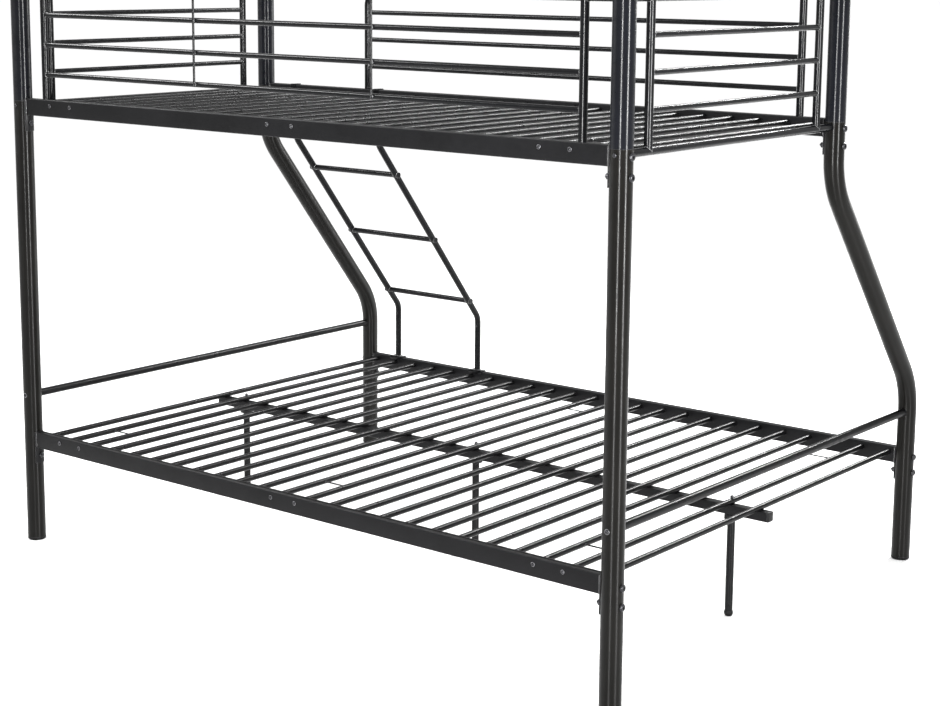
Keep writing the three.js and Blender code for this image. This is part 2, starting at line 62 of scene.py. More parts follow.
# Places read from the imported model
END_X = middle("foot_cap_wall_plain_end").x
WALL_Y = middle("foot_cap_wall_plain_end").y
LOWER_Y = middle("foot_cap_ladder_side_plain_end").y
UPPER_Y = middle("top_cap_ladder_side_plain_end").y
LOWER_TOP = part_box("lower_rail_wall_side")[1].z
UPPER_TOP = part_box("upper_rail_wall_side")[1].z
POST_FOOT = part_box("lower_post_wall_plain_end")[0].z
POST_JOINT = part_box("lower_post_wall_plain_end")[1].z
POST_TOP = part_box("upper_post_wall_plain_end")[1].z
CAP_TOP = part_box("top_cap_wall_plain_end")[1].z
END_BAR_HEIGHT = middle("lower_end_bar_plain_end").z
PANEL_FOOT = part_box("upper_end_panel_plain_end")[0].z + FRAME_RADIUS
TOP_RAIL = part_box("guard_wall_side")[1].z - FRAME_RADIUS
GUARD_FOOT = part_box("guard_wall_side")[0].z
GUARD_GAP_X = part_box("guard_ladder_side")[0].x + FRAME_RADIUS
BEAM_HEIGHT = middle("centre_beam").z

# Posts and caps
POST_RADIUS = 0.025
CLEARANCE = 0.0003
FOOT_FLANGE = 0.008
FOOT_PLUG = 0.030
TOP_PLUG = 0.022
PLUG_INSET = 0.002
SPIGOT_DEPTH = 0.060
SPIGOT_INSET = 0.0018

# Rails, plates and slats
RAIL_HEIGHT = 0.045
RAIL_HALF = 0.011
RAIL_CORNER = 0.0025
PLATE_HEIGHT = 0.088
PLATE_THICKNESS = 0.003
PLATE_HALF_WIDTH = 0.015
PLATE_TOP_DROP = 0.0005
SLAT_COUNT = 24
FIRST_SLAT_INSET = 0.043
SLAT_PITCH = 2 * (END_X - FIRST_SLAT_INSET) / (SLAT_COUNT - 1)
SLAT_RADIUS = 0.0075
SLAT_DROP = 0.016
SLAT_ENTRY = 0.008
TIED_SLATS = (1, 11, 21)
LEG_SLATS = (1, 12, 22)
WIRE_RADIUS = 0.002
WIRE_INSET = 0.180

# The bent posts: the upper bend starts under the rail's plates, the lower ends above the rail
BEND_RADIUS = 0.190
BEND_BELOW_PLATE = 0.005
BEND_ABOVE_RAIL = 0.106
BEND_START = UPPER_TOP - PLATE_TOP_DROP - PLATE_HEIGHT - BEND_BELOW_PLATE
BEND_END = LOWER_TOP + BEND_ABOVE_RAIL

# Guards, panels and the ladder
BAR_RADIUS = 0.00675
BAR_RISE = 0.066
BAR_PITCH = 0.078
BAR_HEIGHTS = [UPPER_TOP + BAR_RISE + i * BAR_PITCH for i in range(3)]
UPRIGHT_INSET = 0.098
ROD_RADIUS = 0.003
ROD_SUNK = 0.001
GUARD_CORNER = 0.060
END_BAR_RADIUS = 0.0105
LADDER_X = middle("ladder").x
LADDER_HALF = 0.1665
LADDER_BEND = 0.050
RUNG_RADIUS = 0.008
RUNG_TOP_DROP = 0.257
RUNG_PITCH = 0.214
RUNG_HEIGHTS = [UPPER_TOP - RUNG_TOP_DROP - i * RUNG_PITCH for i in range(3)]
RUNG_STAND_OUT = 0.002
SHOE_LENGTH = 0.050
SHOE_THICKNESS = 0.003
SHOE_LIP = 0.007
HOOK_WIDTH = 0.016
HOOK_THICKNESS = 0.0025
HOOK_REACH = 0.010
HOOK_LAP = 0.001

# Centre legs
LEG_HEAD = 0.027
LEG_HEAD_HEIGHT = 0.012
LEG_RADIUS = 0.010

# Fasteners: how far a rail's bolts are below its top, and where the ladder's screws sit
RAIL_BOLT_DROPS = (0.023, 0.066)
LADDER_SCREW_DROP = 0.027
LADDER_SCREW_SUNK = 0.0002
WASHER_THICKNESS = 0.0010

# Each kind of bolt, screw and nut, as a share of the full size
RAIL_BOLT = 1.42
GUARD_BOLT = 1.25
END_BOLT = 0.75
SCREW = 0.62
RAIL_NUT = 1.3
LEG_NUT = 0.9

# Weld beads' radii, how their ripple repeats and varies, and where the straight ones lie
BEAD = 0.0013
BEAD_HEAVY = 0.0014
BEAD_FINE = 0.0009
BEAD_ROD = 0.0010
BEAD_STEP = 0.0022
BEAD_RIPPLE, BEAD_TURN, BEAD_UNEVEN = 0.16, 1.9, 0.12
RAIL_BEAD_INSET = 0.003
UNDER_BEAD_HALF = 0.009
UNDER_BEAD_SUNK = 0.001
RUNG_BEAD_START = 0.03
ROD_BEAD_HALF = 0.004

# Bevels on cut plate
PLATE_BEVEL = 0.0006
HEAD_BEVEL = 0.0010

# How finely round shapes are divided
POST_SIDES = 64
STOUT_SIDES = 32
TUBE_SIDES = 28
BAR_SIDES = 24
WIRE_SIDES = 12

X, Y, Z = Vector((1, 0, 0)), Vector((0, 1, 0)), Vector((0, 0, 1))


# ---------------------------------------------------------------- materials

# The finish: the peel's depth, and how far a drawn tube's lines stretch its highlights
PEEL_DEPTH = 0.0004
DRAWN_STRETCH = 0.9

# Rubbed edges, lightened partly as wear and partly as a painted highlight along them: their width,
# the normals' agreement where they start and are full, and their colour
WORN_LIT_EDGE_RADIUS = 0.0012
WORN_LIT_EDGE_START, WORN_LIT_EDGE_FULL = 0.99, 0.88
RUBBED_AND_HIGHLIGHT = (0.30, 0.30, 0.31)

# Scales of the patterns, in waves to the metre
CLOUDS = 7
GLOSS_PATCHES = 55
WORN_LIT_EDGE_PATCHES = 60
SPECKS = 1400


def link(tree, source, output, target, socket):
    tree.links.new(source.outputs[output], target.inputs[socket])


def noise(tree, coordinates, scale, detail=2.0, roughness=0.5):
    node = tree.nodes.new("ShaderNodeTexNoise")
    node.inputs["Scale"].default_value = scale
    node.inputs["Detail"].default_value = detail
    node.inputs["Roughness"].default_value = roughness
    link(tree, coordinates, "Object", node, "Vector")
    return node


def ramp(tree, source, low, high, start=0.35, end=0.65):
    """Turns a noise into a blend of two values or two colours."""
    node = tree.nodes.new("ShaderNodeValToRGB")
    for element, place, value in zip(node.color_ramp.elements, (start, end), (low, high)):
        element.position = place
        element.color = (*value, 1) if hasattr(value, "__len__") else (value, value, value, 1)
    link(tree, source, "Fac", node, "Fac")
    return node


def rub_and_highlight_edges(tree, paint, shader, place, wear_and_highlight):
    """Lightens the paint unevenly where a rounded-off normal leaves the face's own: rubbed edges,
    and a painted highlight along them.
    """
    soft, own = tree.nodes.new("ShaderNodeBevel"), tree.nodes.new("ShaderNodeNewGeometry")
    soft.inputs["Radius"].default_value = WORN_LIT_EDGE_RADIUS
    dot = tree.nodes.new("ShaderNodeVectorMath")
    dot.operation = "DOT_PRODUCT"
    tree.links.new(soft.outputs["Normal"], dot.inputs[0])
    tree.links.new(own.outputs["True Normal"], dot.inputs[1])
    edge = tree.nodes.new("ShaderNodeMapRange")
    reach = (("From Min", WORN_LIT_EDGE_START), ("From Max", WORN_LIT_EDGE_FULL), ("To Min", 0.0), ("To Max", wear_and_highlight))
    for socket, value in reach:
        edge.inputs[socket].default_value = value
    link(tree, dot, "Value", edge, "Value")
    patches = ramp(tree, noise(tree, place, WORN_LIT_EDGE_PATCHES, 4), 0.25, 1.0)
    amount = tree.nodes.new("ShaderNodeMath")
    amount.operation = "MULTIPLY"
    link(tree, edge, "Result", amount, 0)
    link(tree, patches, "Color", amount, 1)
    rubbed_and_lit = tree.nodes.new("ShaderNodeMix")
    rubbed_and_lit.data_type = "RGBA"
    rubbed_and_lit.inputs["B"].default_value = (*RUBBED_AND_HIGHLIGHT, 1)
    tree.links.new(amount.outputs["Value"], rubbed_and_lit.inputs["Factor"])
    tree.links.new(paint.outputs["Result"], rubbed_and_lit.inputs["A"])
    tree.links.new(rubbed_and_lit.outputs["Result"], shader.inputs["Base Color"])


def coated(name, colour, roughness, peel=0.012, grain=420, sheen=0.0, coat=0.0, metal=0.0,
           gloss=0.10, wear_and_highlight=0.0, drawn=None):
    """Powder coat: a fine orange-peel bump, cloudy colour, uneven gloss and faint dust.

    drawn is the axis along which a drawn tube's fine lines stretch its highlights.
    """
    material = bpy.data.materials.new(name)
    material.use_nodes = True
    tree = material.node_tree
    shader = tree.nodes["Principled BSDF"]
    shader.inputs["Metallic"].default_value = metal
    shader.inputs["Coat Weight"].default_value = coat
    shader.inputs["Coat Roughness"].default_value = 0.10
    shader.inputs["Specular IOR Level"].default_value = gloss
    shader.inputs["Sheen Weight"].default_value = sheen
    shader.inputs["Sheen Roughness"].default_value = 0.4
    place = tree.nodes.new("ShaderNodeTexCoord")
    dark = [0.80 * c for c in colour]
    light = [1.25 * c for c in colour]
    cloudy = ramp(tree, noise(tree, place, CLOUDS, 4), dark, light)
    specks = ramp(tree, noise(tree, place, SPECKS, 1), 0.0, 1.0, 0.70, 0.78)
    mix = tree.nodes.new("ShaderNodeMix")
    mix.data_type = "RGBA"
    mix.inputs["B"].default_value = (*[1.6 * c + 0.002 for c in colour], 1)
    tree.links.new(specks.outputs["Color"], mix.inputs["Factor"])
    tree.links.new(cloudy.outputs["Color"], mix.inputs["A"])
    tree.links.new(mix.outputs["Result"], shader.inputs["Base Color"])
    # Edges are lightened, partly as wear and partly as a painted highlight.
    if wear_and_highlight:
        rub_and_highlight_edges(tree, mix, shader, place, wear_and_highlight)
    if drawn:
        grain_line = tree.nodes.new("ShaderNodeCombineXYZ")
        for socket, value in zip(("X", "Y", "Z"), drawn):
            grain_line.inputs[socket].default_value = value
        link(tree, grain_line, "Vector", shader, "Tangent")
        shader.inputs["Anisotropic"].default_value = DRAWN_STRETCH
    uneven = ramp(tree, noise(tree, place, GLOSS_PATCHES, 3), roughness - 0.05, roughness + 0.06)
    link(tree, uneven, "Color", shader, "Roughness")
    bump = tree.nodes.new("ShaderNodeBump")
    bump.inputs["Strength"].default_value = peel
    bump.inputs["Distance"].default_value = PEEL_DEPTH
    link(tree, noise(tree, place, grain, 2), "Fac", bump, "Height")
    link(tree, bump, "Normal", shader, "Normal")
    return material


POST_UPPER = coated("coat_post_upper", (0.0026, 0.0029, 0.0042), 0.31, peel=0.003, coat=0.06,
                    wear_and_highlight=0.20, drawn=(0, 0, 1))
POST_LOWER = coated("coat_post_lower", (0.0030, 0.0028, 0.0024), 0.33, peel=0.003, coat=0.04,
                    wear_and_highlight=0.20, drawn=(0, 0, 1))
# The rails' edges are lightened most: wear, and a painted highlight along their top edge.
RAIL_COAT = coated("coat_rail", (0.0036, 0.0036, 0.0040), 0.40, peel=0.03, coat=0.02, wear_and_highlight=0.50)
FRAME_COAT = coated("coat_frame", (0.0018, 0.0019, 0.0023), 0.22, peel=0.006, coat=0.08, wear_and_highlight=0.12)
SLAT_COAT = coated("coat_slat", (0.0014, 0.0014, 0.0016), 0.32, peel=0.002, coat=0.05,
                   wear_and_highlight=0.12, drawn=(0, 1, 0))
LEG_COAT = coated("coat_leg", (0.0016, 0.0016, 0.0018), 0.32, peel=0.003, coat=0.06,
                  wear_and_highlight=0.12, drawn=(0, 0, 1))
# The welds' colour is lighter than the paint round them, a painted glint at the joints.
WELD_GLINT_COAT = coated("coat_weld_painted_glint", (0.030, 0.030, 0.031), 0.28, peel=0.15, grain=900, coat=0.50,
                   gloss=0.4)
CAP_PLASTIC = coated("plastic_cap", (0.0040, 0.0040, 0.0041), 0.46, peel=0.10, grain=1300,
                     sheen=0.02, wear_and_highlight=0.06)
BOLT_STEEL = coated("bolt_black", (0.008, 0.008, 0.010), 0.26, peel=0.03, grain=1500, metal=0.5,
                    gloss=0.5, wear_and_highlight=0.5)
BRIGHT_STEEL = coated("bolt_rim", (0.20, 0.20, 0.21), 0.30, peel=0.03, grain=1500, metal=1.0,
                      gloss=0.5)


# ---------------------------------------------------------------- mesh building

class Shape:
    """Vertices and faces gathered from several closed shells."""

    def __init__(self):
        self.points = []
        self.faces = []

    def rings(self, rings, closed=False):
        """A skin over rings of equally many points. An open one is capped at both ends."""
        first, count = len(self.points), len(rings[0])
        for ring in rings:
            self.points.extend(ring)
        for i in range(len(rings) if closed else len(rings) - 1):
            a = first + i * count
            b = first + ((i + 1) % len(rings)) * count
            for k in range(count):
                n = (k + 1) % count
                self.faces.append((a + k, a + n, b + n, b + k))
        if not closed:
            last = first + (len(rings) - 1) * count
            self.faces.append(tuple(range(first + count - 1, first - 1, -1)))
            self.faces.append(tuple(range(last, last + count)))
        return self


def across(direction):
    """Two unit vectors square to a direction and to each other."""
    side = direction.cross(Z if abs(direction.z) < 0.9 else X).normalized()
    return side, direction.cross(side).normalized()


def circle(centre, side, rise, radius, sides):
    turns = [2 * math.pi * k / sides for k in range(sides)]
    return [centre + radius * (math.cos(t) * side + math.sin(t) * rise) for t in turns]


def onto(point, direction, wall):
    """Where a line from point along direction first meets a round tube.

    wall is a point on the tube's axis, that axis, and the tube's radius.
    """
    centre, axis, radius = wall
    aside = (point - centre).dot(direction.cross(axis).normalized())
    reach = math.sqrt(max(0.0, radius * radius - aside * aside))
    return point + direction * ((centre - point).dot(direction) - reach)


def bar(shape, start, end, radius, sides=TUBE_SIDES, start_on=None, end_on=None):
    """A round bar. An end given a tube's (axis, radius) is cut to that tube's wall."""
    start, end = Vector(start), Vector(end)
    direction = (end - start).normalized()
    side, rise = across(direction)
    rings = [circle(start, side, rise, radius, sides), circle(end, side, rise, radius, sides)]
    if start_on:
        half = [p + direction * (end - start).length / 2 for p in rings[0]]
        rings[0] = [onto(p, -direction, (start, *start_on)) for p in half]
    if end_on:
        half = [p - direction * (end - start).length / 2 for p in rings[1]]
        rings[1] = [onto(p, direction, (end, *end_on)) for p in half]
    shape.rings(rings)
    return rings


def rounded(corners, radius, step=math.radians(4)):
    """A route through corners, with each inner corner rounded."""
    corners = [Vector(c) for c in corners]
    route = [corners[0]]
    for before, corner, after in zip(corners, corners[1:], corners[2:]):
        back, on = (before - corner).normalized(), (after - corner).normalized()
        turn = math.pi - back.angle(on)
        reach = radius * math.tan(turn / 2)
        centre = corner + (back + on).normalized() * (radius / math.cos(turn / 2))
        arm, goal = corner + back * reach - centre, corner + on * reach - centre
        square = (goal - arm * math.cos(turn)) / math.sin(turn)
        count = max(2, math.ceil(turn / step))
        for i in range(count + 1):
            t = turn * i / count
            route.append(centre + arm * math.cos(t) + square * math.sin(t))
    return route + [corners[-1]]


def bent_tube(shape, route, radius, plane, sides=TUBE_SIDES, end_on=None):
    """A round tube along a flat route. plane is the direction square to the route's plane."""
    rings = []
    for i, point in enumerate(route):
        before, after = route[max(0, i - 1)], route[min(len(route) - 1, i + 1)]
        rise = (after - before).normalized().cross(plane)
        rings.append(circle(point, plane, rise, radius, sides))
    if end_on:
        direction = (route[-1] - route[-2]).normalized()
        rings[-1] = [onto(p, direction, (route[-1], *end_on)) for p in rings[-2]]
    shape.rings(rings)


def turned(shape, centre, profile, sides=48, axis=Z):
    """A body turned about an axis, from (radius, distance) pairs."""
    side, rise = across(axis)
    shape.rings([circle(centre + axis * h, side, rise, max(r, 1e-5), sides) for r, h in profile])


def block(shape, low, high):
    (x0, y0, z0), (x1, y1, z1) = low, high
    shape.rings([[Vector((x, y, z)) for y, z in ((y0, z0), (y1, z0), (y1, z1), (y0, z1))]
                 for x in (x0, x1)])


def piece(name, shape, material, nodes=(), sharp=38, bevel=0.0):
    """Makes one visible piece. It stands for the CAD nodes named."""
    mesh = bpy.data.meshes.new(name)
    mesh.from_pydata([tuple(p) for p in shape.points], [], shape.faces)
    work = bmesh.new()
    work.from_mesh(mesh)
    bmesh.ops.recalc_face_normals(work, faces=work.faces)
    if bevel:
        limit = math.radians(sharp)
        edges = [e for e in work.edges if e.is_manifold and e.calc_face_angle(0) > limit]
        bmesh.ops.bevel(work, geom=edges, offset=bevel, segments=2, profile=0.6, affect="EDGES",
                        clamp_overlap=True)
    work.to_mesh(mesh)
    work.free()
    mesh.shade_smooth()
    mesh.set_sharp_from_angle(angle=math.radians(sharp))
    made = bpy.data.objects.new(name, mesh)
    bpy.context.scene.collection.objects.link(made)
    made.data.materials.append(material)
    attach(made, "root")
    if nodes:
        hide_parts(*nodes)
    return made


# ---------------------------------------------------------------- weld beads

welds = Shape()


def bead(route, size, outward, closed=True):
    """A rippled bead of weld along a route. outward(point) is the way out of the joint there."""
    rings, count = [], len(route)
    phase = chance.uniform(0, 6)
    for i, point in enumerate(route):
        after = route[(i + 1) % count] if closed else route[min(i + 1, count - 1)]
        before = route[i - 1] if closed else route[max(i - 1, 0)]
        along = (after - before).normalized()
        out = outward(point)
        ripple = BEAD_RIPPLE * math.sin(BEAD_TURN * i + phase)
        radius = size * (1 + ripple + chance.uniform(-BEAD_UNEVEN, BEAD_UNEVEN))
        rings.append(circle(point, along.cross(out).normalized(), out, radius, 6))
    welds.rings(rings, closed)


def ring_weld(ring, size=BEAD):
    """A bead round a bar's end."""
    centre = sum(ring, Vector()) / len(ring)
    bead(ring, size, lambda p: (p - centre).normalized())


def line_weld(start, end, out, size):
    """A straight bead."""
    start, end, out = Vector(start), Vector(end), Vector(out)
    count = max(6, round((end - start).length / BEAD_STEP))
    bead([start.lerp(end, i / count) for i in range(count + 1)], size, lambda p: out, closed=False)


# ---------------------------------------------------------------- fasteners

bolts, rims, nuts = Shape(), Shape(), Shape()


def hexagon(centre, side, rise, flat, sides=BAR_SIDES):
    """Points round a hexagon, flat being half of its size across the flats."""
    ring = []
    for k in range(sides):
        t = 2 * math.pi * k / sides
        off = (t % (math.pi / 3)) - math.pi / 6
        ring.append(centre + flat / math.cos(off) * (math.cos(t) * side + math.sin(t) * rise))
    return ring


def button_bolt(at, out, size=1.0, washer=None):
    """A round-headed socket bolt, seated at a point and facing out.

    washer is the shape that takes its washer. Without one the bolt has none.
    """
    at, out = Vector(at), Vector(out)
    side, rise = across(out)
    base = 0.0
    if washer:
        ring = ((0.0030, 0), (0.0083, 0), (0.0085, 0.0004), (0.0081, WASHER_THICKNESS),
                (0.0030, WASHER_THICKNESS))
        turned(washer, at, [(r * size, h * size) for r, h in ring], STOUT_SIDES, out)
        base = WASHER_THICKNESS
    profile = ((0.0030, 0), (0.0062, 0), (0.0066, 0.0004), (0.0066, 0.0009), (0.0062, 0.0022),
               (0.0051, 0.0033), (0.0038, 0.0038))
    rings = [circle(at + out * ((h + base) * size), side, rise, r * size, BAR_SIDES)
             for r, h in profile]
    for flat, height in ((0.0028, 0.0037), (0.0026, 0.0034), (0.0025, 0.0014)):
        rings.append(hexagon(at + out * ((height + base) * size), side, rise, flat * size))
    bolts.rings(rings)


def hex_nut(at, out, size=1.0):
    """A nut with its bolt's rounded end standing through."""
    at, out = Vector(at), Vector(out)
    side, rise = across(out)
    flat = tall = 0.0050 * size
    chamfer = 0.0006 * size
    thread = 0.0029 * size
    rings = [circle(at, side, rise, flat * 0.97, BAR_SIDES),
             hexagon(at + out * chamfer, side, rise, flat),
             hexagon(at + out * (tall - chamfer), side, rise, flat),
             circle(at + out * tall, side, rise, flat * 0.97, BAR_SIDES)]
    for radius, past in ((thread, 0), (thread, 0.0022), (0.7 * thread, 0.0030)):
        rings.append(circle(at + out * (tall + past * size), side, rise, radius, BAR_SIDES))
    nuts.rings(rings)


# ---------------------------------------------------------------- posts and caps

lean_rise = BEND_START - BEND_END
lean_spare = 2 * BEND_RADIUS - (LOWER_Y - UPPER_Y)
lean_reach = math.hypot(lean_rise, lean_spare)
lean = math.atan2(lean_rise, lean_spare) - math.acos(2 * BEND_RADIUS / lean_reach)
to_corner = BEND_RADIUS * math.tan(lean / 2)
UPPER_CORNER, LOWER_CORNER = BEND_START - to_corner, BEND_END + to_corner


def lean_y(height):
    """How far out the bent posts' middle line stands at a height."""
    share = min(1.0, max(0.0, (UPPER_CORNER - height) / (UPPER_CORNER - LOWER_CORNER)))
    return UPPER_Y + share * (LOWER_Y - UPPER_Y)


def lean_route(x, top, bottom, radius):
    return rounded([(x, UPPER_Y, top), (x, UPPER_Y, UPPER_CORNER), (x, LOWER_Y, LOWER_CORNER),
                    (x, LOWER_Y, bottom)], radius)


def foot_cap(x, y):
    """A plug with a rounded foot."""
    shape = Shape()
    edge, plug = POST_RADIUS, POST_RADIUS - PLUG_INSET
    turned(shape, Vector((x, y, 0)), [
        (0, 0.0012), (0.010, 0.0012), (0.0115, 0), (edge - 0.0045, 0), (edge - 0.0025, 0.0005),
        (edge - 0.0010, 0.0016), (edge - 0.0003, 0.0030), (edge, 0.0042),
        (edge, FOOT_FLANGE - 0.0006), (edge - 0.0006, FOOT_FLANGE), (plug, FOOT_FLANGE),
        (plug, FOOT_PLUG), (0, FOOT_PLUG),
    ], POST_SIDES)
    return shape


def top_cap(x, y):
    """A plug with a low dome."""
    shape = Shape()
    edge, plug, rise = POST_RADIUS, POST_RADIUS - PLUG_INSET, CAP_TOP - POST_TOP
    turned(shape, Vector((x, y, POST_TOP)), [
        (0, -TOP_PLUG), (plug, -TOP_PLUG), (plug, CLEARANCE), (edge - 0.0004, CLEARANCE),
        (edge, 0.0008), (edge - 0.0003, 0.0022), (edge - 0.0014, 0.0036), (edge - 0.0035, 0.0048),
        (edge - 0.009, 0.0056), (edge - 0.016, rise), (0, rise),
    ], POST_SIDES)
    return shape


def add_posts():
    for end, x in (("ladder_end", -END_X), ("plain_end", END_X)):
        wall, front = f"wall_{end}", f"ladder_side_{end}"
        straight = Shape()
        bar(straight, (x, WALL_Y, POST_FOOT), (x, WALL_Y, POST_JOINT), POST_RADIUS, POST_SIDES)
        piece(f"post_lower_{wall}", straight, POST_LOWER, [f"lower_post_{wall}"])
        bent = Shape()
        bent_tube(bent, lean_route(x, POST_JOINT, POST_FOOT, BEND_RADIUS), POST_RADIUS, X,
                  POST_SIDES)
        piece(f"post_lower_{front}", bent, POST_LOWER, [f"lower_post_{front}"])
        for corner, y, foot_y in ((wall, WALL_Y, WALL_Y), (front, UPPER_Y, LOWER_Y)):
            upper = Shape()
            length = POST_TOP - POST_JOINT - CLEARANCE
            spigot = POST_RADIUS - SPIGOT_INSET
            turned(upper, Vector((x, y, POST_JOINT + CLEARANCE)), [
                (spigot, -SPIGOT_DEPTH), (spigot, 0), (POST_RADIUS - 0.0005, 0),
                (POST_RADIUS, 0.0005), (POST_RADIUS, length), (POST_RADIUS - PLUG_INSET, length),
            ], POST_SIDES)
            piece(f"post_upper_{corner}", upper, POST_UPPER, [f"upper_post_{corner}"])
            piece(f"cap_foot_{corner}", foot_cap(x, foot_y), CAP_PLASTIC,
                  [f"foot_cap_{corner}"])
            piece(f"cap_top_{corner}", top_cap(x, y), CAP_PLASTIC,
                  [f"top_cap_{corner}"])


# ---------------------------------------------------------------- rails, slats and their wires

def slat_x(index):
    return (index - (SLAT_COUNT - 1) / 2) * SLAT_PITCH


def rail_section(y, top):
    """Points round a rail's rounded section, as (y, z)."""
    half, low = RAIL_HALF, top - RAIL_HEIGHT
    points = []
    for cy, cz, start in ((half, top, 0), (-half, top, 90), (-half, low, 180), (half, low, 270)):
        cy -= math.copysign(RAIL_CORNER, cy)
        cz += RAIL_CORNER if cz == low else -RAIL_CORNER
        for k in range(5):
            t = math.radians(start + 22.5 * k)
            points.append((y + cy + RAIL_CORNER * math.cos(t), cz + RAIL_CORNER * math.sin(t)))
        if start in (0, 180):
            inner = half - RAIL_CORNER
            face = cz + RAIL_CORNER * (1 if start == 0 else -1)
            for k in range(1, 6):
                points.append((y + math.copysign(inner * (1 - k / 3), cy), face))
    return points


def add_rail(name, node, y, top, inward):
    """A rail's outside, its end plates and their welds, and the bolts and screws in it."""
    rail = Shape()
    seat = POST_RADIUS + CLEARANCE + PLATE_THICKNESS / 2
    section = rail_section(y, top)
    rings = []
    for way in (-1, 1):
        rings.append([Vector((way * (END_X - math.sqrt(seat ** 2 - (py - y) ** 2)), py, pz))
                      for py, pz in section])
    rail.rings(rings)
    piece(f"{name}_tube", rail, RAIL_COAT, [node])

    plates = Shape()
    inner = POST_RADIUS + CLEARANCE
    outer = inner + PLATE_THICKNESS
    plate_top = top - PLATE_TOP_DROP
    plate_foot = plate_top - PLATE_HEIGHT
    spread = math.asin(PLATE_HALF_WIDTH / outer)
    for way in (-1, 1):
        turns = [spread * (k / 8 - 1) for k in range(17)]
        outline = [(outer, t) for t in turns] + [(inner, -t) for t in turns]
        plates.rings([[Vector((way * (END_X - r * math.cos(t)), y + r * math.sin(t), z))
                       for r, t in outline] for z in (plate_foot, plate_top)])
        face_x = way * (END_X - math.sqrt(outer ** 2 - RAIL_HALF ** 2))
        for side in (-1, 1):
            edge_y = y + side * RAIL_HALF
            line_weld((face_x, edge_y, top - RAIL_BEAD_INSET),
                      (face_x, edge_y, top - RAIL_HEIGHT + RAIL_BEAD_INSET),
                      (-way, side, 0), BEAD_HEAVY)
        under_x, under_z = face_x - way * UNDER_BEAD_SUNK, top - RAIL_HEIGHT
        line_weld((under_x, y - UNDER_BEAD_HALF, under_z), (under_x, y + UNDER_BEAD_HALF, under_z),
                  (-way, 0, -1), BEAD_HEAVY)
        for drop in RAIL_BOLT_DROPS:
            button_bolt((way * (END_X + POST_RADIUS), y, top - drop), X * way, RAIL_BOLT)
        hex_nut((way * (END_X - outer), y, top - RAIL_BOLT_DROPS[1]), -X * way, RAIL_NUT)
    piece(f"{name}_plates", plates, RAIL_COAT, bevel=PLATE_BEVEL)
    for first in TIED_SLATS:
        for index in (first, first + 1):
            button_bolt((slat_x(index), y - inward * RAIL_HALF, top - SLAT_DROP), Y * -inward,
                        SCREW, rims)


def add_deck(name, low_y, high_y, top, single_nodes):
    """A deck's slats. Three pairs are tied with wire, and each stands for its CAD node."""
    height = top - SLAT_DROP
    start, end = low_y + RAIL_HALF - SLAT_ENTRY, high_y - RAIL_HALF + SLAT_ENTRY
    tied = [i for first in TIED_SLATS for i in (first, first + 1)]
    for index in range(SLAT_COUNT):
        if index in tied:
            continue
        slat = Shape()
        x = slat_x(index)
        bar(slat, (x, start, height), (x, end, height), SLAT_RADIUS, BAR_SIDES)
        nodes = [f"lower_slat_{index + 1:02d}"] if single_nodes else ()
        piece(f"{name}_slat_{index + 1:02d}", slat, SLAT_COAT, nodes)
    for pair, first in enumerate(TIED_SLATS, 1):
        slats = Shape()
        xs = slat_x(first), slat_x(first + 1)
        for x in xs:
            bar(slats, (x, start, height), (x, end, height), SLAT_RADIUS, BAR_SIDES)
        for wire_y in (low_y + WIRE_INSET, high_y - WIRE_INSET):
            rings = bar(slats, (xs[0], wire_y, height), (xs[1], wire_y, height), WIRE_RADIUS,
                        WIRE_SIDES, (Y, SLAT_RADIUS), (Y, SLAT_RADIUS))
            for ring in rings:
                ring_weld(ring, BEAD_FINE)
        piece(f"{name}_tied_slats_{pair}", slats, SLAT_COAT,
              [f"{name}_tied_slats_{pair}"])


# ---------------------------------------------------------------- end bars, panels and guards

def add_end_bars():
    for end, x in (("ladder_end", -END_X), ("plain_end", END_X)):
        shape = Shape()
        reach = (Z, POST_RADIUS + CLEARANCE)
        bar(shape, (x, WALL_Y, END_BAR_HEIGHT), (x, LOWER_Y, END_BAR_HEIGHT), END_BAR_RADIUS,
            STOUT_SIDES, reach, reach)
        piece(f"end_bar_{end}", shape, SLAT_COAT, [f"lower_end_bar_{end}"])
        button_bolt((x, WALL_Y - POST_RADIUS, END_BAR_HEIGHT), -Y, END_BOLT, rims)
        button_bolt((x, LOWER_Y + POST_RADIUS, END_BAR_HEIGHT), Y, END_BOLT, rims)


def framed_bar(shape, start, end, radius, on_start=None, on_end=None):
    """A bar welded between two tubes."""
    rings = bar(shape, start, end, radius, BAR_SIDES, on_start, on_end)
    for ring, welded in zip(rings, (on_start, on_end)):
        if welded and welded[1] < POST_RADIUS:
            ring_weld(ring)


def add_end_panels():
    tube_wall, post_wall = (Z, FRAME_RADIUS), (Z, POST_RADIUS + CLEARANCE)
    for end, x in (("ladder_end", -END_X), ("plain_end", END_X)):
        shape = Shape()
        low, high = WALL_Y + UPRIGHT_INSET, UPPER_Y - UPRIGHT_INSET
        for z in (PANEL_FOOT, TOP_RAIL):
            framed_bar(shape, (x, WALL_Y, z), (x, UPPER_Y, z), FRAME_RADIUS, post_wall, post_wall)
            button_bolt((x, WALL_Y - POST_RADIUS, z), -Y, END_BOLT)
            button_bolt((x, UPPER_Y + POST_RADIUS, z), Y, END_BOLT)
        for y in (low, high):
            framed_bar(shape, (x, y, PANEL_FOOT), (x, y, TOP_RAIL), FRAME_RADIUS,
                       (Y, FRAME_RADIUS), (Y, FRAME_RADIUS))
        for z in BAR_HEIGHTS:
            framed_bar(shape, (x, low, z), (x, high, z), BAR_RADIUS, tube_wall, tube_wall)
        piece(f"end_panel_{end}", shape, FRAME_COAT, [f"upper_end_panel_{end}"])


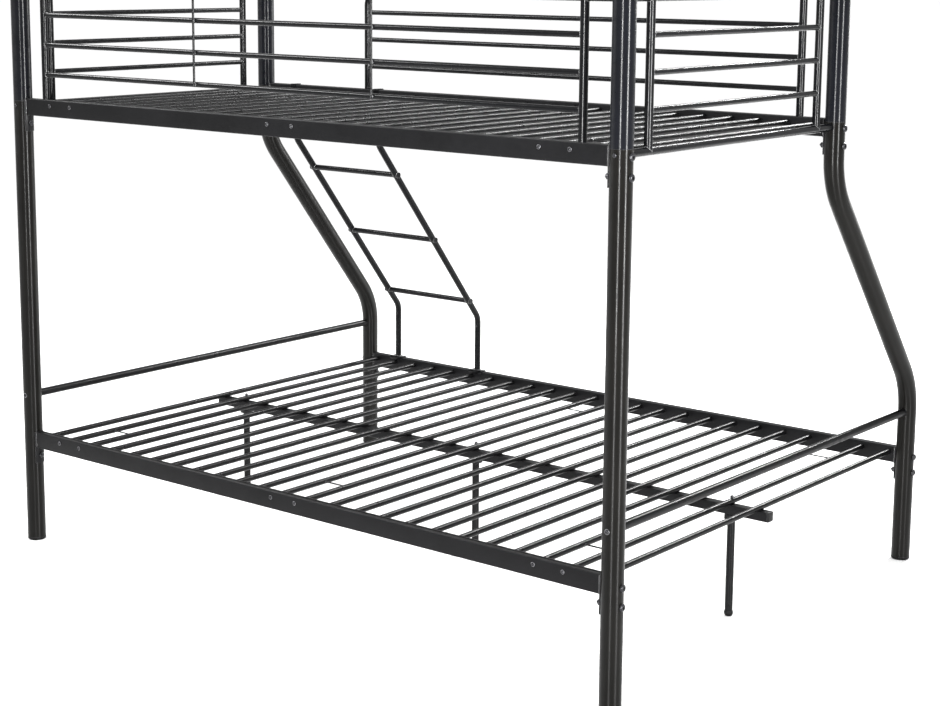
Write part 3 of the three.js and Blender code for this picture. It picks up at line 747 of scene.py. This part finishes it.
def add_guards():
    tube_wall, post_wall = (Z, FRAME_RADIUS), (Z, POST_RADIUS + CLEARANCE)
    upright = END_X - UPRIGHT_INSET

    wall = Shape()
    framed_bar(wall, (-END_X, WALL_Y, TOP_RAIL), (END_X, WALL_Y, TOP_RAIL), FRAME_RADIUS,
               post_wall, post_wall)
    for x in (-upright, upright):
        framed_bar(wall, (x, WALL_Y, GUARD_FOOT), (x, WALL_Y, TOP_RAIL), FRAME_RADIUS,
                   None, (X, FRAME_RADIUS))
    for z in BAR_HEIGHTS:
        framed_bar(wall, (-upright, WALL_Y, z), (upright, WALL_Y, z), BAR_RADIUS,
                   tube_wall, tube_wall)
    rod_y = WALL_Y - BAR_RADIUS - ROD_RADIUS + ROD_SUNK
    for x in (-upright / 3, upright / 3):
        bar(wall, (x, rod_y, BAR_HEIGHTS[0]), (x, rod_y, TOP_RAIL), ROD_RADIUS, WIRE_SIDES)
        for z in BAR_HEIGHTS:
            for side in (-1, 1):
                seam = Vector((x + side * ROD_RADIUS, WALL_Y - BAR_RADIUS, z))
                line_weld(seam - Z * ROD_BEAD_HALF, seam + Z * ROD_BEAD_HALF, (side, -1, 0),
                          BEAD_ROD)
    piece("guard_wall", wall, FRAME_COAT, ["guard_wall_side"])

    front = Shape()
    hoop = rounded([(GUARD_GAP_X, UPPER_Y, GUARD_FOOT), (GUARD_GAP_X, UPPER_Y, TOP_RAIL),
                    (END_X, UPPER_Y, TOP_RAIL)], GUARD_CORNER)
    bent_tube(front, hoop, FRAME_RADIUS, Y, end_on=post_wall)
    framed_bar(front, (upright, UPPER_Y, GUARD_FOOT), (upright, UPPER_Y, TOP_RAIL), FRAME_RADIUS,
               None, (X, FRAME_RADIUS))
    for z in BAR_HEIGHTS:
        framed_bar(front, (GUARD_GAP_X, UPPER_Y, z), (upright, UPPER_Y, z), BAR_RADIUS,
                   tube_wall, tube_wall)
    piece("guard_front", front, FRAME_COAT, ["guard_ladder_side"])
    for x, y in ((-END_X, WALL_Y), (END_X, WALL_Y), (END_X, UPPER_Y)):
        button_bolt((x + math.copysign(POST_RADIUS, x), y, TOP_RAIL), X * math.copysign(1, x),
                    GUARD_BOLT)


# ---------------------------------------------------------------- ladder

def add_hook(shape, x, foot):
    """A strap from a shoe's lip up the rail's outside, over its top and down its inside."""
    half, over = HOOK_WIDTH / 2, UPPER_TOP
    outside, inside = UPPER_Y + RAIL_HALF + CLEARANCE, UPPER_Y - RAIL_HALF - HOOK_THICKNESS
    edge = outside + HOOK_THICKNESS
    block(shape, (x - half, outside, foot - HOOK_LAP), (x + half, edge, over))
    block(shape, (x - half, inside, over), (x + half, edge, over + HOOK_THICKNESS))
    block(shape, (x - half, inside, over - HOOK_REACH),
          (x + half, UPPER_Y - RAIL_HALF - CLEARANCE, over))


def add_ladder():
    top = UPPER_TOP - RAIL_HEIGHT - CLEARANCE
    foot = LOWER_TOP + CLEARANCE
    shape, shoes = Shape(), Shape()
    slope = Vector((0, UPPER_Y - LOWER_Y, UPPER_CORNER - LOWER_CORNER)).normalized()
    for side in (-1, 1):
        x = LADDER_X + side * LADDER_HALF
        route = lean_route(x, top - SHOE_THICKNESS, foot + SHOE_THICKNESS, LADDER_BEND)
        bent_tube(shape, route, FRAME_RADIUS, X)
        for y, z, way in ((UPPER_Y, top, 1), (LOWER_Y, foot, -1)):
            flat = sorted((z, z - way * SHOE_THICKNESS))
            lip = sorted((z - way * SHOE_THICKNESS, z + way * SHOE_LIP))
            inner, outer = RAIL_HALF + CLEARANCE, RAIL_HALF + CLEARANCE + SHOE_THICKNESS
            ends = sorted((y - way * RAIL_HALF, y + way * outer))
            lips = sorted((y + way * inner, y + way * outer))
            half = SHOE_LENGTH / 2
            block(shoes, (x - half, ends[0], flat[0]), (x + half, ends[1], flat[1]))
            block(shoes, (x - half, lips[0], lip[0]), (x + half, lips[1], lip[1]))
            seat = Vector((x, y, z - way * SHOE_THICKNESS))
            ring_weld(circle(seat, X, Y, FRAME_RADIUS, TUBE_SIDES), BEAD_HEAVY)
        add_hook(shoes, x, top + SHOE_LIP)
        screw_y = LOWER_Y - FRAME_RADIUS + LADDER_SCREW_SUNK
        button_bolt((x, screw_y, LOWER_CORNER - LADDER_SCREW_DROP), -Y, SCREW)
    for z in RUNG_HEIGHTS:
        y = lean_y(z)
        reach = LADDER_HALF + FRAME_RADIUS + RUNG_STAND_OUT
        bar(shape, (LADDER_X - reach, y, z), (LADDER_X + reach, y, z), RUNG_RADIUS)
        for side in (-1, 1):
            at = Vector((LADDER_X + side * LADDER_HALF, y, z))
            # A ring on the rung, clear of the tube, is carried along it onto the sloping wall
            for way in (-1, 1):
                loop = circle(at + X * way * RUNG_BEAD_START, Y, Z, RUNG_RADIUS, TUBE_SIDES)
                ring_weld([onto(p, -X * way, (at, slope, FRAME_RADIUS)) for p in loop])
    piece("ladder_frame", shape, FRAME_COAT, ["ladder"])
    piece("ladder_shoes", shoes, FRAME_COAT, bevel=PLATE_BEVEL)


# ---------------------------------------------------------------- centre beam and legs

def add_beam():
    low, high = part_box("centre_beam")
    beam = Shape()
    half, corner = (high.y - low.y) / 2, RAIL_CORNER
    section = []
    for cy, cz, start in ((1, 1, 0), (-1, 1, 90), (-1, -1, 180), (1, -1, 270)):
        for k in range(5):
            t = math.radians(start + 22.5 * k)
            section.append((cy * (half - corner) + corner * math.cos(t),
                            BEAM_HEIGHT + cz * (half - corner) + corner * math.sin(t)))
    beam.rings([[Vector((x, y, z)) for y, z in section] for x in (low.x, high.x)])
    piece("beam", beam, RAIL_COAT, ["centre_beam"])
    for end in ("ladder_end", "plain_end"):
        low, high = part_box(f"beam_cap_{end}")
        way = 1 if end == "plain_end" else -1
        outer = high.x if way > 0 else low.x
        cap = Shape()
        rings = []
        for back, shrink in ((0.0042, 0), (0.0022, 0), (0.0010, 0.0006), (0.0003, 0.0016),
                             (0, 0.0032)):
            share = 1 - shrink / half
            rings.append([Vector((outer - way * back, y * share,
                                  BEAM_HEIGHT + (z - BEAM_HEIGHT) * share)) for y, z in section])
        cap.rings(rings)
        piece(f"beam_end_{end}", cap, CAP_PLASTIC, [f"beam_cap_{end}"])
    for number, index in enumerate(LEG_SLATS, 1):
        low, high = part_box(f"centre_leg_{number}")
        x = slat_x(index)
        leg = Shape()
        bar(leg, (x, 0, low.z), (x, 0, high.z - LEG_HEAD_HEIGHT), LEG_RADIUS, STOUT_SIDES)
        head = Shape()
        block(head, (x - LEG_HEAD / 2, -LEG_HEAD / 2, high.z - LEG_HEAD_HEIGHT),
              (x + LEG_HEAD / 2, LEG_HEAD / 2, high.z))
        neck = Vector((x, 0, high.z - LEG_HEAD_HEIGHT))
        ring_weld(circle(neck, X, Y, LEG_RADIUS, TUBE_SIDES), BEAD_HEAVY)
        piece(f"leg_stem_{number}", leg, LEG_COAT, [f"centre_leg_{number}"])
        piece(f"leg_head_{number}", head, FRAME_COAT, bevel=HEAD_BEVEL)
        cup = Shape()
        turned(cup, Vector((x, 0, 0)), [
            (0, 0), (0.0060, 0.0002), (0.0086, 0.0012), (0.0104, 0.0034), (0.0113, 0.0062),
            (0.0115, 0.0090), (0.0113, 0.0122), (0.0109, 0.0136), (0.0104, 0.0140),
            (0.0103, 0.0136), (0.0103, 0.0067), (0, 0.0067),
        ], 40)
        piece(f"leg_cup_{number}", cup, CAP_PLASTIC, [f"leg_cap_{number}"])
        hex_nut((x, 0, LOWER_TOP - SLAT_DROP + SLAT_RADIUS), Z, LEG_NUT)


add_posts()
for deck, front_y, top in (("lower", LOWER_Y, LOWER_TOP), ("upper", UPPER_Y, UPPER_TOP)):
    add_rail(f"rail_{deck}_wall", f"{deck}_rail_wall_side", WALL_Y, top, 1)
    add_rail(f"rail_{deck}_front", f"{deck}_rail_ladder_side", front_y, top, -1)
    add_deck(deck, WALL_Y, front_y, top, deck == "lower")
add_end_bars()
add_end_panels()
add_guards()
add_ladder()
add_beam()
piece("bolt_heads", bolts, BOLT_STEEL, sharp=30)
piece("bolt_washers", rims, BRIGHT_STEEL, sharp=30)
piece("nuts", nuts, BOLT_STEEL, sharp=30)
piece("weld_beads", welds, WELD_GLINT_COAT, sharp=80)


# ---------------------------------------------------------------- floor, light and camera

FLOOR_SIZE = 600.0

# The sky's strength at the horizon and overhead, and how far up it starts to change
HORIZON, CEILING, SKY_START = 1.0, 1.2, 0.35


def plain(name, colour, roughness):
    material = bpy.data.materials.new(name)
    material.use_nodes = True
    shader = material.node_tree.nodes["Principled BSDF"]
    shader.inputs["Base Color"].default_value = (*colour, 1)
    shader.inputs["Roughness"].default_value = roughness
    shader.inputs["Specular IOR Level"].default_value = 0.2
    return material


def add_floor():
    half = FLOOR_SIZE / 2
    corners = [(-half, -half, 0), (half, -half, 0), (half, half, 0), (-half, half, 0)]
    mesh = bpy.data.meshes.new("floor")
    mesh.from_pydata(corners, [], [(0, 1, 2, 3)])
    floor = bpy.data.objects.new("floor", mesh)
    bpy.context.scene.collection.objects.link(floor)
    floor.data.materials.append(plain("floor_paint", (0.93, 0.93, 0.93), 0.8))


def area_light(name, place, target, width, height, brightness, beam=180):
    """A rectangular light. Its brightness is that of its face, seen straight on.

    A beam under 180 degrees puts a grid on it.
    """
    data = bpy.data.lights.new(name, "AREA")
    data.shape = "RECTANGLE"
    data.size, data.size_y = width, height
    data.energy = brightness * math.pi * width * height
    if beam < 180:
        half = math.radians(beam / 2)
        data.spread = 2 * half
        data.energy *= (math.tan(half) - half) / math.tan(half)
    lamp = bpy.data.objects.new(name, data)
    lamp.location = place
    lamp.rotation_euler = (Vector(target) - Vector(place)).to_track_quat("-Z", "Y").to_euler()
    bpy.context.scene.collection.objects.link(lamp)


def add_lights():
    """A white room, and tall softboxes that draw one clean line along each tube."""
    world = bpy.data.worlds.new("studio")
    world.use_nodes = True
    tree = world.node_tree
    place = tree.nodes.new("ShaderNodeTexCoord")
    split = tree.nodes.new("ShaderNodeSeparateXYZ")
    sky = tree.nodes.new("ShaderNodeMapRange")
    sky.interpolation_type = "SMOOTHSTEP"
    fade = (("From Min", SKY_START), ("From Max", 1.0), ("To Min", HORIZON), ("To Max", CEILING))
    for socket, value in fade:
        sky.inputs[socket].default_value = value
    link(tree, place, "Generated", split, "Vector")
    link(tree, split, "Z", sky, "Value")
    link(tree, sky, "Result", tree.nodes["Background"], "Strength")
    tree.nodes["Background"].inputs["Color"].default_value = (1, 1, 1, 1)
    bpy.context.scene.world = world
    area_light("softbox_right", (5.0, -1.2, 1.3), (0, -0.4, 1.3),
               width=0.55, height=3.0, brightness=170, beam=50)
    area_light("softbox_left", (2.2, -4.5, 1.3), (0.4, 0, 1.3),
               width=0.40, height=3.0, brightness=200, beam=50)
    area_light("softbox_behind", (0.7, 3.6, 3.0), (0, 0, 0.8),
               width=0.40, height=2.4, brightness=125)
    area_light("softbox_over_guard", (-2.8, -2.0, 3.4), (0, 0, 0.8),
               width=2.4, height=0.35, brightness=60)


def add_camera():
    """The viewpoint: azimuth from the wall side towards the plain end, angle down, and roll."""
    azimuth, down, roll = math.radians(38.65), math.radians(9.57), math.radians(0.44)
    data = bpy.data.cameras.new("camera")
    data.sensor_width = 36.0
    data.lens = 71.35
    data.shift_y = -0.08
    camera = bpy.data.objects.new("camera", data)
    camera.location = (3.105, -3.864, 1.593)
    level = math.cos(down)
    back = Vector((math.sin(azimuth) * level, -math.cos(azimuth) * level, math.sin(down)))
    right = Vector((math.cos(azimuth), math.sin(azimuth), 0))
    up = back.cross(right)
    turn, tip = math.cos(roll), math.sin(roll)
    right, up = right * turn + up * tip, up * turn - right * tip
    matrix = camera.rotation_euler.to_matrix()
    for row in range(3):
        matrix[row] = (right[row], up[row], back[row])
    camera.rotation_euler = matrix.to_euler()
    bpy.context.scene.collection.objects.link(camera)
    bpy.context.scene.camera = camera


add_floor()
add_lights()
add_camera()
bpy.context.scene.view_settings.view_transform = "Standard"
